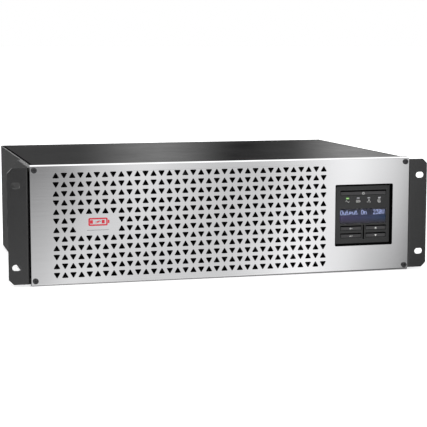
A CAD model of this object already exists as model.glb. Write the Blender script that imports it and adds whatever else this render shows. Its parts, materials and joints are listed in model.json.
import json
import math

import bmesh
import bpy
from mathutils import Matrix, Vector


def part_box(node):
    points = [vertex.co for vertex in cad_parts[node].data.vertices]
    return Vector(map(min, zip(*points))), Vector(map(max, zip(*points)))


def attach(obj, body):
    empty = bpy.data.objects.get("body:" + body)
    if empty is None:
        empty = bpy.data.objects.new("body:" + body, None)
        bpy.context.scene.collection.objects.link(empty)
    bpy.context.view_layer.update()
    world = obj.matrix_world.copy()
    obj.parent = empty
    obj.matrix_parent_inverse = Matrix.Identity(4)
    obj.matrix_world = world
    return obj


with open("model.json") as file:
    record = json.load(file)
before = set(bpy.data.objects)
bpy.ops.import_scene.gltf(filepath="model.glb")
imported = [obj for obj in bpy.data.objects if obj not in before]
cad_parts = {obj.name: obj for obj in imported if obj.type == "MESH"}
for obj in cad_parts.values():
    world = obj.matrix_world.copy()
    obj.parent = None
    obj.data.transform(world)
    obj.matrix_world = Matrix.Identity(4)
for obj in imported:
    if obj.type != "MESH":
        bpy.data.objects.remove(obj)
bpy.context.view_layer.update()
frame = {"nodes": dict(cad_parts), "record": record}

MM = 0.001
CASE = "case"

# Places that everything below is worked out from: the planes of the bezel's and the display's faces,
# and the boxes of the display window, the status lights and the emblem
BEZEL_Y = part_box("front_bezel")[0].y
FACE_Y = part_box("display_housing")[0].y
WINDOW_LO, WINDOW_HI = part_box("display_window")
LENS_LO, LENS_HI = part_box("led_lenses")
BADGE_LO, BADGE_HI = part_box("bezel_badge")
# Depth of the grain in brushed metal
GRAIN_RELIEF = 0.02 * MM
# Half width and height of the display's face pad and of the bezel's window round it
PAD_HALF = (33.3 * MM, 33.7 * MM)
OPENING_HALF = (34.9 * MM, 35.3 * MM)
# Middle and half size, across and up, of the bezel's perforated field
PUNCHED_MIDDLE = (-37.5 * MM, 65.1 * MM)
PUNCHED_HALF = (162.0 * MM, 60.5 * MM)
KEY_NAMES = ("power_button", "escape_key", "enter_key", "up_key", "down_key")

# Camera: focal length in millimetres on a 36 mm sensor, turn to the right and downwards in degrees,
# and place from the middle of the bezel's foot
CAMERA_LENS, CAMERA_SENSOR = 111.9, 36.0
CAMERA_YAW, CAMERA_PITCH = 14.955, 7.217
CAMERA_AT = Vector((-391.6, -1410.0, 257.6)) * MM


# ---------------------------------------------------------------- material building


class Surface:
    """One procedural material: its node tree, its shader and short calls to add nodes."""

    def __init__(self, name, colour, roughness, metallic=0.0):
        self.material = bpy.data.materials.new(name)
        self.material.use_nodes = True
        self.tree = self.material.node_tree
        self.shader = self.tree.nodes["Principled BSDF"]
        self.base = (*colour, 1.0)
        self.set("Base Color", self.base)
        self.set("Roughness", roughness)
        self.set("Metallic", metallic)
        self.place = self.node("ShaderNodeTexCoord").outputs["Object"]

    def set(self, socket, value):
        self.shader.inputs[socket].default_value = value

    def node(self, kind, **values):
        made = self.tree.nodes.new(kind)
        for key, value in values.items():
            if key in made.inputs:
                made.inputs[key].default_value = value
            else:
                setattr(made, key, value)
        return made

    def link(self, out, into):
        self.tree.links.new(out, into)

    def stretched(self, scale):
        """The object's own coordinates, stretched along an axis."""
        mapping = self.node("ShaderNodeMapping", Scale=scale)
        self.link(self.place, mapping.inputs["Vector"])
        return mapping.outputs["Vector"]

    def noise(self, scale, detail=3.0, vector=None, rough=0.5):
        made = self.node("ShaderNodeTexNoise", Scale=scale, Detail=detail, Roughness=rough)
        self.link(vector or self.place, made.inputs["Vector"])
        return made.outputs["Fac"]

    def split(self, vector):
        """The X, Y and Z outputs of a vector."""
        made = self.node("ShaderNodeSeparateXYZ")
        self.link(vector, made.inputs[0])
        return made.outputs

    def remap(self, value, low, high, from_low=0.3, from_high=0.7):
        made = self.node("ShaderNodeMapRange")
        limits = {"From Min": from_low, "From Max": from_high, "To Min": low, "To Max": high}
        for key, number in limits.items():
            made.inputs[key].default_value = number
        self.link(value, made.inputs["Value"])
        return made.outputs["Result"]

    def mix(self, factor, first, second):
        """A colour between two colours, each a tuple or an output."""
        made = self.node("ShaderNodeMix", data_type="RGBA")
        self.link(factor, made.inputs[0])
        for index, colour in ((6, first), (7, second)):
            if isinstance(colour, tuple):
                made.inputs[index].default_value = (*colour[:3], 1.0)
            else:
                self.link(colour, made.inputs[index])
        return made.outputs[2]

    def math(self, operation, first, second):
        made = self.node("ShaderNodeMath", operation=operation)
        for index, value in enumerate((first, second)):
            if isinstance(value, (int, float)):
                made.inputs[index].default_value = value
            else:
                self.link(value, made.inputs[index])
        return made.outputs[0]

    def edges(self, radius):
        """1 along the shape's edges and 0 on its flats."""
        soft = self.node("ShaderNodeBevel", samples=4, Radius=radius)
        flat = self.node("ShaderNodeNewGeometry")
        dot = self.node("ShaderNodeVectorMath", operation="DOT_PRODUCT")
        self.link(soft.outputs["Normal"], dot.inputs[0])
        self.link(flat.outputs["Normal"], dot.inputs[1])
        return self.remap(dot.outputs["Value"], 1.0, 0.0, 0.75, 0.98)

    def colour(self, output):
        self.link(output, self.shader.inputs["Base Color"])

    def roughness(self, output):
        self.link(output, self.shader.inputs["Roughness"])

    def bump(self, height, distance, strength=0.5, edge_radius=None):
        """Surface relief, over rounded edges where a radius is given."""
        made = self.node("ShaderNodeBump", Strength=strength, Distance=distance)
        self.link(height, made.inputs["Height"])
        if edge_radius:
            soft = self.node("ShaderNodeBevel", samples=4, Radius=edge_radius)
            self.link(soft.outputs["Normal"], made.inputs["Normal"])
        self.link(made.outputs["Normal"], self.shader.inputs["Normal"])


def tint(colour, amount):
    return tuple(min(1.0, c * amount) for c in colour)


def hole_walls(s):
    """1 on the walls of the bezel's punched holes and 0 elsewhere."""
    normal = s.split(s.node("ShaderNodeNewGeometry").outputs["Normal"])
    place = s.split(s.place)
    walls = s.math("LESS_THAN", s.math("ABSOLUTE", normal["Y"], 0.0), 0.6)
    for axis, middle_at, half in zip("XZ", PUNCHED_MIDDLE, PUNCHED_HALF):
        off = s.math("ABSOLUTE", s.math("SUBTRACT", place[axis], middle_at), 0.0)
        walls = s.math("MULTIPLY", walls, s.math("LESS_THAN", off, half))
    return walls


def brushed(name, colour, roughness, stretch, punched=False):
    """Metal with a fine grain along one axis and cloudy roughness.

    Its edges are worn bright or, on a punched sheet, its holes are dark inside.
    """
    s = Surface(name, colour, roughness, 1.0)
    lines = s.noise(1.0, 4.0, s.stretched(stretch), 0.7)
    clouds = s.noise(14.0, 3.0)
    tone = s.mix(s.remap(lines, 0.0, 1.0), tint(colour, 0.97), tint(colour, 1.02))
    if punched:
        s.colour(s.mix(hole_walls(s), tone, (0.01, 0.01, 0.01)))
    else:
        s.colour(s.mix(s.math("MULTIPLY", s.edges(0.5 * MM), 0.5), tone, tint(colour, 1.2)))
    streaks = s.remap(lines, roughness * 0.8, roughness * 1.25)
    s.roughness(s.math("ADD", s.remap(clouds, -0.01, 0.01), streaks))
    s.bump(lines, GRAIN_RELIEF, 0.12, 0.1 * MM if punched else 0.3 * MM)
    return s.material


def powder_coat(name, colour, roughness, grain_size=0.7 * MM, specular=1.0):
    """Black powder coat: fine pebbled relief, cloudy gloss and slightly worn edges."""
    s = Surface(name, colour, roughness)
    s.set("Specular IOR Level", specular)
    pebbles = s.noise(1.0 / grain_size, 2.0)
    clouds = s.noise(9.0, 4.0)
    scuffs = s.noise(60.0, 5.0, s.stretched((1.0, 0.35, 1.0)), 0.7)
    tone = s.mix(s.remap(clouds, 0.0, 1.0), tint(colour, 0.85), tint(colour, 1.2))
    worn = s.math("MULTIPLY", s.edges(0.6 * MM), s.remap(scuffs, 0.05, 0.7, 0.45, 0.65))
    s.colour(s.mix(worn, tone, (0.16, 0.16, 0.165)))
    gloss = s.remap(scuffs, roughness - 0.02, roughness + 0.03)
    s.roughness(s.math("ADD", s.remap(clouds, -0.03, 0.05), gloss))
    s.bump(pebbles, 0.01 * MM, 0.25, 0.4 * MM)
    return s.material


def moulded(name, colour, roughness, grain_size=0.5 * MM, relief=0.03 * MM, specular=0.5):
    """Moulded plastic: a faint sparked texture, softened edges and uneven gloss."""
    s = Surface(name, colour, roughness)
    s.set("Specular IOR Level", specular)
    grain = s.noise(1.0 / grain_size, 2.0)
    clouds = s.noise(25.0, 3.0)
    tone = s.mix(s.remap(clouds, 0.0, 1.0), tint(colour, 0.88), tint(colour, 1.12))
    s.colour(s.mix(s.math("MULTIPLY", s.edges(0.3 * MM), 0.3), tone, tint(colour, 1.8)))
    s.roughness(s.remap(clouds, roughness - 0.04, roughness + 0.05))
    s.bump(grain, relief, 0.3, 0.2 * MM)
    return s.material


def plated(name, colour, roughness):
    """Plated metal: bright, with cloudy stains and softened edges."""
    s = Surface(name, colour, roughness, 1.0)
    clouds = s.noise(70.0, 5.0)
    spots = s.noise(900.0, 2.0)
    s.colour(s.mix(s.remap(clouds, 0.0, 1.0), tint(colour, 0.8), tint(colour, 1.05)))
    s.roughness(s.remap(clouds, roughness - 0.05, roughness + 0.12))
    s.bump(spots, 0.01 * MM, 0.3, 0.2 * MM)
    return s.material


def circuit_board(name):
    """Solder mask over copper tracks, with tinned pads."""
    s = Surface(name, (0.01, 0.10, 0.04), 0.35)
    mask = {"Color1": (0.008, 0.09, 0.035, 1.0), "Color2": (0.01, 0.12, 0.045, 1.0)}
    tracks = s.node("ShaderNodeTexBrick", Scale=160.0, Mortar=(0.02, 0.2, 0.07, 1.0), **mask)
    s.link(s.place, tracks.inputs["Vector"])
    pads = s.node("ShaderNodeTexVoronoi", Scale=260.0)
    s.link(s.place, pads.inputs["Vector"])
    ring = s.remap(pads.outputs["Distance"], 1.0, 0.0, 0.16, 0.2)
    s.colour(s.mix(ring, tracks.outputs["Color"], (0.55, 0.55, 0.52)))
    s.bump(tracks.outputs["Fac"], 0.04 * MM, 0.4)
    return s.material


def laminated(name):
    """Stacked transformer sheets under varnish."""
    s = Surface(name, (0.09, 0.085, 0.08), 0.45, 0.6)
    sheets = s.noise(1.0, 2.0, s.stretched((2.0, 1800.0, 2.0)))
    s.colour(s.mix(s.remap(sheets, 0.0, 1.0), (0.05, 0.048, 0.045), (0.16, 0.15, 0.14)))
    s.bump(sheets, 0.1 * MM, 0.6)
    return s.material


def wound(name, colour, stretch):
    """Turns of wire side by side."""
    s = Surface(name, colour, 0.35)
    wave = s.node("ShaderNodeTexWave", Scale=300.0, Distortion=0.6, bands_direction="Z")
    s.link(s.stretched(stretch), wave.inputs["Vector"])
    s.colour(s.mix(wave.outputs["Fac"], tint(colour, 0.4), tint(colour, 1.15)))
    s.bump(wave.outputs["Fac"], 0.3 * MM, 0.8)
    return s.material


def printed_emblem(name):
    """Red print, with a grey rule below it."""
    s = Surface(name, (0.62, 0.01, 0.03), 0.45)
    rule_top = BADGE_LO.z + 1.2 * MM
    above = s.math("GREATER_THAN", s.split(s.place)["Z"], rule_top)
    grain = s.remap(s.noise(1500.0, 2.0), 0.0, 1.0)
    red = s.mix(grain, (0.55, 0.008, 0.025), (0.68, 0.012, 0.04))
    s.colour(s.mix(above, (0.22, 0.22, 0.23), red))
    s.bump(grain, 0.01 * MM, 0.2)
    return s.material


def clear_window(name):
    """The smoked clear cover of the LCD."""
    s = Surface(name, (0.82, 0.85, 0.92), 0.04)
    s.set("Transmission Weight", 1.0)
    s.set("Specular IOR Level", 0.25)
    s.set("IOR", 1.3)
    smudge = s.noise(40.0, 4.0)
    s.roughness(s.remap(smudge, 0.0, 0.012))
    return s.material


def lcd_light(name):
    """The backlit LCD: navy at the top, violet to blue across the middle, dark at the bottom."""
    s = Surface(name, (0.004, 0.004, 0.008), 0.25)
    s.set("Specular IOR Level", 0.0)
    span = s.split(s.node("ShaderNodeTexCoord").outputs["Generated"])
    across = s.mix(span["X"], (0.040, 0.022, 0.085), (0.006, 0.032, 0.085))
    low = s.mix(s.remap(span["Z"], 0.0, 1.0, 0.05, 0.38), (0.010, 0.006, 0.010), across)
    high = s.mix(s.remap(span["Z"], 0.0, 1.0, 0.42, 0.62), low, (0.003, 0.006, 0.030))
    top = s.mix(s.remap(span["Z"], 0.0, 1.0, 0.85, 1.0), high, (0.004, 0.005, 0.008))
    grain = s.remap(s.noise(2500.0, 1.0), 0.0, 1.0)
    s.link(s.mix(s.math("MULTIPLY", grain, 0.25), top, (0.0, 0.0, 0.01)), s.shader.inputs["Emission Color"])
    s.set("Emission Strength", 1.0)
    return s.material


def matt_black(name):
    """Dull black rubber that reflects next to nothing."""
    s = Surface(name, (0.002, 0.002, 0.002), 0.8)
    s.set("Specular IOR Level", 0.0)
    dust = s.remap(s.noise(700.0, 3.0), 0.0, 1.0)
    s.colour(s.mix(dust, (0.0015, 0.0015, 0.0015), (0.003, 0.003, 0.003)))
    return s.material


def glowing(name, colour, strength):
    """A small lit thing: light through a faintly mottled lens."""
    s = Surface(name, tint(colour, 0.4), 0.3)
    mottle = s.remap(s.noise(1800.0, 2.0), 0.0, 1.0)
    s.link(s.mix(mottle, tint(colour, 0.85), colour), s.shader.inputs["Emission Color"])
    s.set("Emission Strength", strength)
    return s.material


def slot_materials():
    """The material of every slot in the record."""
    return {
        "satin_metal": brushed(
            "satin_metal", (0.76, 0.76, 0.77), 0.065, (6.0, 900.0, 900.0), punched=True
        ),
        "black_paint": powder_coat("black_paint", (0.006, 0.006, 0.0065), 0.17),
        "black_screw": powder_coat("black_screw", (0.028, 0.028, 0.030), 0.25, 0.3 * MM, 0.5),
        "zinc_steel": plated("zinc_steel", (0.60, 0.59, 0.55), 0.3),
        "red_print": printed_emblem("red_print"),
        "display_plastic": moulded(
            "display_plastic", (0.010, 0.0105, 0.011), 0.22, 0.6 * MM, 0.01 * MM, specular=0.68
        ),
        "key_plastic": moulded("key_plastic", (0.045, 0.044, 0.046), 0.42),
        "clear_window": clear_window("clear_window"),
        "lcd_glass": moulded("lcd_glass", (0.02, 0.02, 0.03), 0.2),
        "light_pipe": moulded("light_pipe", (0.38, 0.38, 0.40), 0.3),
        "switch_plastic": moulded("switch_plastic", (0.02, 0.02, 0.02), 0.45),
        "circuit_board": circuit_board("circuit_board"),
        "brass": plated("brass", (0.75, 0.55, 0.24), 0.28),
        "socket_plastic": moulded("socket_plastic", (0.018, 0.018, 0.019), 0.42),
        "port_shell": plated("port_shell", (0.68, 0.68, 0.69), 0.25),
        "green_plastic": moulded("green_plastic", (0.03, 0.24, 0.06), 0.4),
        "fan_plastic": moulded("fan_plastic", (0.016, 0.016, 0.017), 0.4, 0.4 * MM),
        "battery_case": moulded("battery_case", (0.04, 0.04, 0.045), 0.5, 0.8 * MM, 0.06 * MM),
        "core_steel": laminated("core_steel"),
        "winding": wound("winding", (0.50, 0.22, 0.05), (1.0, 1.0, 1.0)),
        "heatsink_aluminium": brushed(
            "heatsink_aluminium", (0.72, 0.73, 0.75), 0.35, (900.0, 5.0, 900.0)
        ),
        "capacitor_sleeve": moulded("capacitor_sleeve", (0.02, 0.025, 0.07), 0.3),
        "relay_plastic": moulded("relay_plastic", (0.03, 0.07, 0.25), 0.4),
        "choke_core": wound("choke_core", (0.45, 0.20, 0.05), (1.0, 1.0, 0.0)),
    }


def paint_nodes(materials):
    """Gives every CAD node the material of its slot; the sheets behind the bezel wear it dull."""
    inside = powder_coat("black_paint_inside", (0.003, 0.003, 0.003), 0.55, specular=0.15)
    for part in frame["record"]["subparts"]:
        mesh = frame["nodes"][part["node"]].data
        mesh.materials.clear()
        hidden = part["node"] in ("front_plate", "battery_door")
        mesh.materials.append(inside if hidden else materials[part["material_slot"]])


# ---------------------------------------------------------------- small pieces


def add_piece(name, mesh, material, body):
    """Puts a finished mesh or curve in the scene, riding on a body."""
    piece = bpy.data.objects.new(name, mesh)
    mesh.materials.append(material)
    bpy.context.scene.collection.objects.link(piece)
    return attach(piece, body)


def raised_shapes(name, outlines, front, back, material, body):
    """Flat closed shapes in the X-Z plane, given thickness from front back to back."""
    bm = bmesh.new()
    for outline in outlines:
        near = [bm.verts.new((x, front, z)) for x, z in outline]
        far = [bm.verts.new((x, back, z)) for x, z in outline]
        bm.faces.new(near)
        bm.faces.new(far[::-1])
        for i in range(len(outline)):
            j = (i + 1) % len(outline)
            bm.faces.new((near[j], near[i], far[i], far[j]))
    bmesh.ops.recalc_face_normals(bm, faces=bm.faces)
    mesh = bpy.data.meshes.new(name)
    bm.to_mesh(mesh)
    bm.free()
    return add_piece(name, mesh, material, body)


def drawn_lines(name, lines, y, width, material, body):
    """Fine printed lines in the X-Z plane: each is (points, closed)."""
    curve = bpy.data.curves.new(name, "CURVE")
    curve.dimensions = "3D"
    curve.bevel_depth = width / 2
    curve.bevel_resolution = 1
    curve.use_fill_caps = True
    for points, closed in lines:
        spline = curve.splines.new("POLY")
        spline.points.add(len(points) - 1)
        for spot, (x, z) in zip(spline.points, points):
            spot.co = (x, 0.0, z, 1.0)
        spline.use_cyclic_u = closed
    piece = add_piece(name, curve, material, body)
    piece.scale = (1.0, 0.3, 1.0)
    piece.location = (0.0, y, 0.0)
    return piece


def arc(x, z, r, start, end, steps=20):
    """Points round part of a circle, angles in degrees from +X."""
    turns = [math.radians(start + (end - start) * i / steps) for i in range(steps + 1)]
    return [(x + r * math.cos(t), z + r * math.sin(t)) for t in turns]


def box_outline(x0, x1, z0, z1):
    """The corners of an upright rectangle."""
    return [(x0, z0), (x1, z0), (x1, z1), (x0, z1)]


def rounded_outline(x, z, w, h, r):
    """A rounded rectangle about a middle, from its half width, half height and corner radius."""
    corners = ((1, 1, 0), (-1, 1, 90), (-1, -1, 180), (1, -1, 270))
    return [p for sx, sz, a in corners for p in arc(x + sx * (w - r), z + sz * (h - r), r, a, a + 90, 5)]


def middle(node):
    """The centre of a CAD node's box, in X and Z."""
    lo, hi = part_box(node)
    return (lo.x + hi.x) / 2, (lo.z + hi.z) / 2


GLYPHS = {
    "O": ".###. #...# #...# #...# #...# #...# .###.",
    "u": "..... ..... #...# #...# #...# #..## .##.#",
    "t": ".#... .#... ###.. .#... .#... .#..# ..##.",
    "p": "..... ..... ####. #...# ####. #.... #....",
    "n": "..... ..... #.##. ##..# #...# #...# #...#",
    "2": ".###. #...# ....# ...#. ..#.. .#... #####",
    "3": "##### ...#. ..#.. ...#. ....# #...# .###.",
    "0": ".###. #...# #..## #.#.# ##..# #...# .###.",
    "V": "#...# #...# #...# #...# #...# .#.#. ..#..",
}
STATUS_LINE = "Output On  230V"
# Width of the printed symbols' lines, and how far they stand out of their face
PRINT_WIDTH, PRINT_PROUD = 0.42 * MM, 0.03 * MM
DOT_FILL = (0.78, 0.80)      # how much of its cell a dot fills, across and up
SCREEN_Y = WINDOW_HI.y + 0.30 * MM
SCREEN_T = 0.08 * MM


def lcd_text(material):
    """The status line in dot-matrix characters, one small square for each lit dot."""
    left, right = WINDOW_LO.x + 1.0 * MM, WINDOW_HI.x - 1.2 * MM
    cell = (right - left) / (len(STATUS_LINE) - 1 / 6)
    dot_x, dot_z = cell / 6, 5.3 * MM / 7
    top = WINDOW_HI.z - 1.7 * MM
    squares = []
    for place, letter in enumerate(STATUS_LINE):
        for row, dots in enumerate(GLYPHS.get(letter, "").split()):
            for column, dot in enumerate(dots):
                if dot != "#":
                    continue
                x = left + place * cell + column * dot_x
                z = top - row * dot_z
                squares.append(box_outline(x, x + dot_x * DOT_FILL[0], z - dot_z * DOT_FILL[1], z))
    raised_shapes("lcd_text", squares, SCREEN_Y - SCREEN_T, SCREEN_Y, material, CASE)


def lcd_screen(material):
    """The glowing field behind the text."""
    inset = 0.15 * MM
    x0, x1 = WINDOW_LO.x + inset, WINDOW_HI.x - inset
    outline = box_outline(x0, x1, WINDOW_LO.z + inset, WINDOW_HI.z - inset)
    raised_shapes("lcd_screen", [outline], SCREEN_Y, SCREEN_Y + SCREEN_T, material, CASE)


def display_seal(material):
    """The matt black seal between the bezel's window and the display's face pad, over the pad's edge."""
    x, z = middle("display_housing")
    gap, lap = 0.1 * MM, 0.8 * MM
    outer = rounded_outline(x, z, OPENING_HALF[0] - gap, OPENING_HALF[1] - gap, 1.4 * MM)
    inner = rounded_outline(x, z, PAD_HALF[0] - lap, PAD_HALF[1] - lap, 1.0 * MM)
    after = [(i + 1) % len(outer) for i in range(len(outer))]
    ring = [[outer[i], outer[j], inner[j], inner[i]] for i, j in enumerate(after)]
    front, back = FACE_Y - 0.05 * MM, FACE_Y + 2.9 * MM
    raised_shapes("display_seal", ring, front, back, material, CASE)


def cap_box(name):
    """The left, right and top of a key's cap, inside the flange that keeps the key in."""
    lo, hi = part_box(name)
    side, above = 1.1 * MM, 0.4 * MM
    return lo.x + side, hi.x - side, hi.z - above


def key_seals(material):
    """The matt black strips in the grooves above the keys and between them."""
    side, low, high = 0.3 * MM, 0.15 * MM, 1.5 * MM
    strips = []
    for name in KEY_NAMES:
        left, right, top = cap_box(name)
        strips.append(box_outline(left - side, right + side, top + low, top + high))
    x, z = middle("display_housing")
    x, half = x + 1.2 * MM, 0.75 * MM
    strips.append(box_outline(x - half, x + half, z - 28.4 * MM, z - 11.9 * MM))
    front, back = FACE_Y + 0.9 * MM, FACE_Y + 1.4 * MM
    raised_shapes("key_seals", strips, front, back, material, CASE)


def lid_seals(material):
    """The matt black strips that fill the seam between the lid and each side wall."""
    lo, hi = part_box("top_cover")
    width, gap, height, down = 1.9 * MM, 0.55 * MM, 1.2 * MM, 0.65 * MM
    bm = bmesh.new()
    for way, edge in ((1, lo.x), (-1, hi.x)):
        made = bmesh.ops.create_cube(bm, size=1.0)["verts"]
        bmesh.ops.scale(bm, vec=(width + gap, hi.y - lo.y, height), verts=made)
        spot = (edge + way * (width - gap) / 2, (lo.y + hi.y) / 2, hi.z - down)
        bmesh.ops.translate(bm, vec=spot, verts=made)
    mesh = bpy.data.meshes.new("lid_seals")
    bm.to_mesh(mesh)
    bm.free()
    add_piece("lid_seals", mesh, material, CASE)


def emblem_bars(material):
    """The two charge bars either side of the bolt, inside the emblem's battery outline."""
    shell_right = BADGE_HI.x - 2.0 * MM
    x, z = (BADGE_LO.x + shell_right) / 2, BADGE_HI.z - 4.3 * MM
    near, far, half = 4.9 * MM, 8.0 * MM, 1.9 * MM
    bars = [box_outline(x + a, x + b, z - half, z + half) for a, b in ((-far, -near), (near, far))]
    raised_shapes("emblem_bars", bars, BADGE_LO.y, BADGE_HI.y, material, CASE)


def lens_middles():
    """The X of each status light."""
    half = 1.6 * MM
    first, last = LENS_LO.x + half, LENS_HI.x - half
    return [first + (last - first) * i / 3 for i in range(4)]


def light_halo(material):
    """The dim green glow round the lit light."""
    x, z = lens_middles()[0], (LENS_LO.z + LENS_HI.z) / 2
    outline = rounded_outline(x, z, 2.1 * MM, 1.3 * MM, 0.8 * MM)
    front = FACE_Y - 0.04 * MM
    raised_shapes("light_halo", [outline], front, FACE_Y, material, CASE)


def lit_light(material):
    """The lit face of the first status light."""
    x, z = lens_middles()[0], (LENS_LO.z + LENS_HI.z) / 2
    outline = rounded_outline(x, z, 1.45 * MM, 0.5 * MM, 0.25 * MM)
    front = LENS_LO.y - 0.06 * MM
    raised_shapes("lit_status_light", [outline], front, LENS_LO.y, material, CASE)


def status_icons(material):
    """The four printed symbols under the status lights: mains, battery, warning, replace battery."""
    z = LENS_LO.z - 2.9 * MM
    a, b, c, d = lens_middles()
    u = 1.15 * MM
    wave = [(a + (i / 12 - 1) * 1.9 * u, z + math.sin(i / 12 * math.pi) * 0.9 * u) for i in range(25)]
    cell = box_outline(b - 2 * u, b + 1.6 * u, z - u, z + u)
    pole = [(b + 2.1 * u, z - 0.4 * u), (b + 2.1 * u, z + 0.4 * u)]
    bars = [[(b + x * u, z - 0.5 * u), (b + x * u, z + 0.5 * u)] for x in (-1.1, -0.2, 0.7)]
    sign = [(c - 1.8 * u, z - 1.2 * u), (c + 1.8 * u, z - 1.2 * u), (c, z + 1.7 * u)]
    mark = [(c, z - 0.5 * u), (c, z + 0.6 * u)]
    swap = arc(d, z, 1.7 * u, 60, 330)
    core = box_outline(d - 0.8 * u, d + 0.8 * u, z - 0.6 * u, z + 0.6 * u)
    lines = [(points, True) for points in (cell, sign, core)]
    lines += [(points, False) for points in (wave, pole, mark, swap, *bars)]
    drawn_lines("status_icons", lines, FACE_Y - PRINT_PROUD, PRINT_WIDTH, material, CASE)


def key_symbols(material):
    """The symbol on each key, which moves with it."""
    u, width = MM, PRINT_WIDTH
    x, z = middle("power_button")
    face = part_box("power_button")[0].y - PRINT_PROUD
    z += 0.35 * u
    ring = [(arc(x, z, 1.25 * u, 120, 420), False), ([(x, z + 0.3 * u), (x, z + 1.5 * u)], False)]
    drawn_lines("power_symbol", ring, face, width, material, "power_button")
    x, z = middle("escape_key")
    z += 0.4 * u
    back = [([(x - 0.6 * u, z + u), (x - 1.6 * u, z), (x - 0.6 * u, z - u)], False),
            ([(x - 1.5 * u, z), (x + 1.7 * u, z)], False)]
    drawn_lines("escape_symbol", back, face, width, material, "escape_key")
    x, z = middle("enter_key")
    z += 0.4 * u
    hook = [([(x + 1.6 * u, z + 0.9 * u), (x + 1.6 * u, z - 0.3 * u), (x - 1.4 * u, z - 0.3 * u)], False),
            ([(x - 0.6 * u, z + 0.6 * u), (x - 1.6 * u, z - 0.3 * u), (x - 0.6 * u, z - 1.1 * u)], False)]
    drawn_lines("enter_symbol", hook, face, width, material, "enter_key")
    for name, way in (("up_key", 1), ("down_key", -1)):
        x, z = middle(name)
        z += 0.4 * u
        tri = [(x - 1.4 * u, z - way * 0.8 * u), (x + 1.4 * u, z - way * 0.8 * u), (x, z + way * 1.1 * u)]
        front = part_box(name)[0].y - 0.05 * MM
        symbol = name.replace("key", "symbol")
        raised_shapes(symbol, [tri], front, front + 0.05 * MM, material, name)


# ---------------------------------------------------------------- stage


def camera():
    """The camera, in front of the left end, looking slightly right and down."""
    data = bpy.data.cameras.new("camera")
    data.lens, data.sensor_width = CAMERA_LENS, CAMERA_SENSOR
    data.clip_end = 400.0
    made = bpy.data.objects.new("camera", data)
    made.location = CAMERA_AT + Vector((0.0, BEZEL_Y, 0.0))
    made.rotation_euler = (math.radians(90 - CAMERA_PITCH), 0.0, math.radians(-CAMERA_YAW))
    bpy.context.scene.collection.objects.link(made)
    bpy.context.scene.camera = made


def floor():
    """A wide pale floor."""
    bpy.ops.mesh.primitive_plane_add(size=300.0, location=(0, 0, -0.2 * MM))
    made = bpy.context.object
    made.name = "floor"
    s = Surface("floor", (0.9, 0.9, 0.9), 0.7)
    s.colour(s.mix(s.remap(s.noise(3.0), 0.0, 1.0), (0.92, 0.92, 0.92), (0.94, 0.94, 0.94)))
    s.set("Emission Color", s.base)
    s.set("Emission Strength", 0.45)
    made.data.materials.append(s.material)
    made.visible_glossy = False


class Room(Surface):
    """The studio round the object, as a world whose light depends on its direction alone."""

    def __init__(self):
        self.world = bpy.data.worlds.new("room")
        self.world.use_nodes = True
        self.tree = self.world.node_tree
        self.x, self.y, self.z = self.split(self.node("ShaderNodeTexCoord").outputs["Generated"])

    def degrees(self, value):
        return self.math("MULTIPLY", value, 180 / math.pi)

    def ramp(self, value, stops):
        """A smooth curve through (azimuth, brightness) stops."""
        low, high = RAMP_SPAN
        made = self.node("ShaderNodeValToRGB")
        made.color_ramp.interpolation = "EASE"
        points = made.color_ramp.elements
        while len(points) < len(stops):
            points.new(0.5)
        for point, (position, level) in zip(points, stops):
            point.position = (position - low) / (high - low)
            point.color = (level / ROOM_TOP, level / ROOM_TOP, level / ROOM_TOP, 1.0)
        self.link(self.remap(value, 0.0, 1.0, low, high), made.inputs[0])
        return self.math("MULTIPLY", made.outputs[0], ROOM_TOP)

    def blend(self, factor, first, second):
        """first where factor is 0 and second where it is 1."""
        difference = self.math("SUBTRACT", second, first)
        return self.math("ADD", first, self.math("MULTIPLY", factor, difference))


RAMP_SPAN = (-20, 60)        # azimuths that a ramp covers, in degrees
ROOM_TOP = 4.0               # brightness at the top of a ramp
CEILING, CEILING_RISE = 1.7, (22.0, 50.0)     # the ceiling, and the heights it fades in over
FRONT_RISE = (-10.0, -5.2)   # heights of what the bezel's bottom and top edges mirror
# A strip light low behind the left side, mirrored by the case's rounded edges: brightness, heights and
# azimuths it fades in over, and azimuths it fades out over
STRIP, STRIP_RISE, STRIP_NEAR, STRIP_FAR = 1.6, (0.5, 3.0), (-3.0, -5.5), (-14.0, -18.0)
# Brightness by azimuth, in degrees to the right of straight ahead: what the bezel's top edge mirrors,
# and what its bottom edge mirrors
FRONT_HIGH = [
    (0, 0.2), (6, 0.22), (7.5, 0.29), (8.5, 0.36), (10, 0.76), (11.8, 1.01), (13.5, 0.84),
    (15.3, 0.70), (17, 0.68), (18.7, 0.88), (20.8, 1.20), (22.8, 0.92), (24.0, 0.36), (33, 0.3), (45, 0.5),
]
FRONT_LOW = [
    (0, 0.6), (6, 0.65), (7.5, 0.72), (8.7, 1.0), (10, 0.90), (11.8, 0.78), (13.5, 0.80),
    (15.3, 0.78), (17, 0.98), (18.7, 1.30), (20.4, 1.0), (22, 0.58), (23, 0.42), (23.9, 0.02),
    (34, 0.02), (42, 0.35),
]
# Brightness by azimuth, in degrees to the right of straight back: the bands that the lid mirrors
BACK = [
    (-20, 0.2), (-8, 0.13), (2, 0.07), (8.9, 0.07), (12.5, 0.315), (16.1, 0.02), (18, 0.06),
    (21.2, 0.48), (26, 0.15), (45, 0.3),
]


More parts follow.
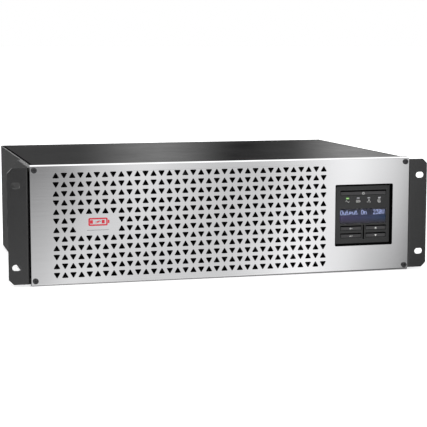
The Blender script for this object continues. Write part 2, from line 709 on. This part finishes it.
def room():
    """Bright overhead, soft upright bands in front and behind, and a plain white backdrop."""
    r = Room()
    front_azimuth = r.degrees(r.math("ARCTAN2", r.x, r.math("MULTIPLY", r.y, -1.0)))
    back_azimuth = r.degrees(r.math("ARCTAN2", r.x, r.y))
    height = r.degrees(r.math("ARCSINE", r.z, 0.0))
    high = r.ramp(front_azimuth, FRONT_HIGH)
    low = r.ramp(front_azimuth, FRONT_LOW)
    front = r.blend(r.remap(height, 0.0, 1.0, *FRONT_RISE), low, high)
    back = r.ramp(back_azimuth, BACK)
    is_front = r.remap(r.y, 1.0, 0.0, -0.1, 0.1)
    sides = r.blend(is_front, back, front)
    near = r.remap(back_azimuth, 0.0, 1.0, *STRIP_NEAR)
    far = r.remap(back_azimuth, 1.0, 0.0, *STRIP_FAR)
    low_down = r.remap(height, 0.0, 1.0, *STRIP_RISE)
    strip = r.math("MULTIPLY", r.math("MULTIPLY", near, far), low_down)
    sides = r.blend(strip, sides, STRIP)
    light = r.blend(r.remap(height, 0.0, 1.0, *CEILING_RISE), sides, CEILING)
    shown = r.node("ShaderNodeBackground", Strength=1.0)
    lit = r.node("ShaderNodeBackground")
    r.link(light, lit.inputs["Strength"])
    path = r.node("ShaderNodeLightPath")
    mix = r.node("ShaderNodeMixShader")
    r.link(path.outputs["Is Camera Ray"], mix.inputs[0])
    r.link(lit.outputs[0], mix.inputs[1])
    r.link(shown.outputs[0], mix.inputs[2])
    output = r.tree.nodes.get("World Output") or r.node("ShaderNodeOutputWorld")
    r.link(mix.outputs[0], output.inputs["Surface"])
    for background in (lit, shown):
        background.inputs["Color"].default_value = (1.0, 1.0, 1.0, 1.0)
    bpy.context.scene.world = r.world
    bpy.context.scene.view_settings.view_transform = "Standard"


# ---------------------------------------------------------------- putting it together

slots = slot_materials()
paint_nodes(slots)
emblem_bars(slots["red_print"])
seal_black = matt_black("seal_black")
display_seal(seal_black)
key_seals(seal_black)
lid_seals(seal_black)
light_halo(glowing("green_halo", (0.05, 0.20, 0.03), 0.5))
lcd_screen(lcd_light("lcd_light"))
lcd_text(glowing("lcd_glow", (0.44, 0.50, 0.80), 1.7))
lit_light(glowing("green_glow", (0.28, 0.55, 0.16), 1.3))
print_white = moulded("white_print", (0.78, 0.78, 0.76), 0.5)
status_icons(print_white)
key_symbols(print_white)
floor()
room()
camera()
